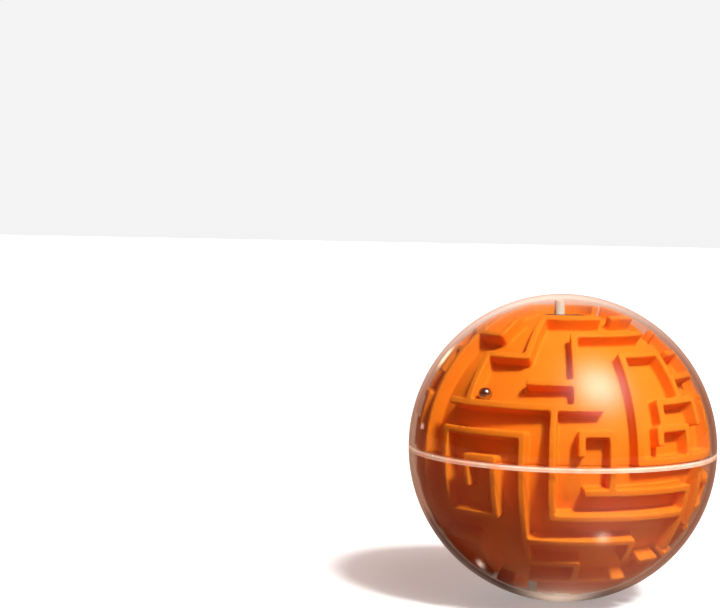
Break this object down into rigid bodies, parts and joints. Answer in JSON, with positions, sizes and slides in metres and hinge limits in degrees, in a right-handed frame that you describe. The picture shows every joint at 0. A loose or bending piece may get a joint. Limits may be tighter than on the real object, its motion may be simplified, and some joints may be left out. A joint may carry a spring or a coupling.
{
  "type": "maze ball puzzle",
  "caption": "Clear two-part sphere around an orange core with raised maze walls; a small steel ball rolls in the channels from pole to pole.",
  "frame": {"origin": "centre of the sphere", "axes": "+Z towards the start pole, -Y the front of the maze, +X to its right"},
  "size_m": [0.095, 0.095, 0.095],
  "materials": {
    "clear_shell": "clear gloss polystyrene",
    "core_plastic": "semi-gloss orange moulded plastic",
    "pad_black": "gloss black",
    "pin_white": "natural nylon",
    "ball_steel": "polished steel"
  },
  "bodies": {
    "ball_housing": {"shell_upper": "clear_shell", "shell_lower": "clear_shell", "maze_core_upper": "core_plastic", "maze_core_lower": "core_plastic", "start_pad": "pad_black", "finish_pad": "pad_black", "pole_pin_upper": "pin_white", "pole_pin_lower": "pin_white"},
    "steel_ball": {"steel_ball": "ball_steel"}
  },
  "joints": [
    {"name": "ball_roll", "type": "hinge", "parent": "ball_housing", "child": "steel_ball", "pos_m": [0, 0, 0], "axis": [0, 0, 1], "range_deg": [-1.3, 35.6]}
  ]
}
